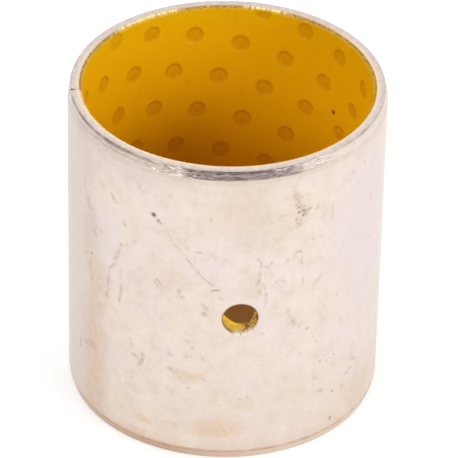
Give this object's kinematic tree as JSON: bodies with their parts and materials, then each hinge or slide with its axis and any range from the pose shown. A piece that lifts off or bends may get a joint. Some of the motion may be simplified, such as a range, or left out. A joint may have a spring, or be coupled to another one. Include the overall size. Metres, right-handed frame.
{
  "type": "acetal lined wrapped bush",
  "caption": "Thin-walled rolled steel bush with a dimpled yellow acetal bore, a sintered bronze interlayer, a butt seam and a radial oil hole.",
  "frame": {"origin": "on the bore axis, in the plane of the lower end face", "axes": "+Z along the bore axis, upwards; the oil hole faces -Y and the butt seam is on -X"},
  "size_m": [0.055, 0.055, 0.06],
  "materials": {
    "tinned_steel": "matte tin plate, slightly pink, with faint tarnish and light scratches",
    "sintered_bronze": "fine sintered grain",
    "acetal": "smooth satin, deep yellow"
  },
  "bodies": {
    "root": {"steel_backing": "tinned_steel", "bronze_interlayer": "sintered_bronze", "acetal_lining": "acetal"}
  },
  "joints": []
}
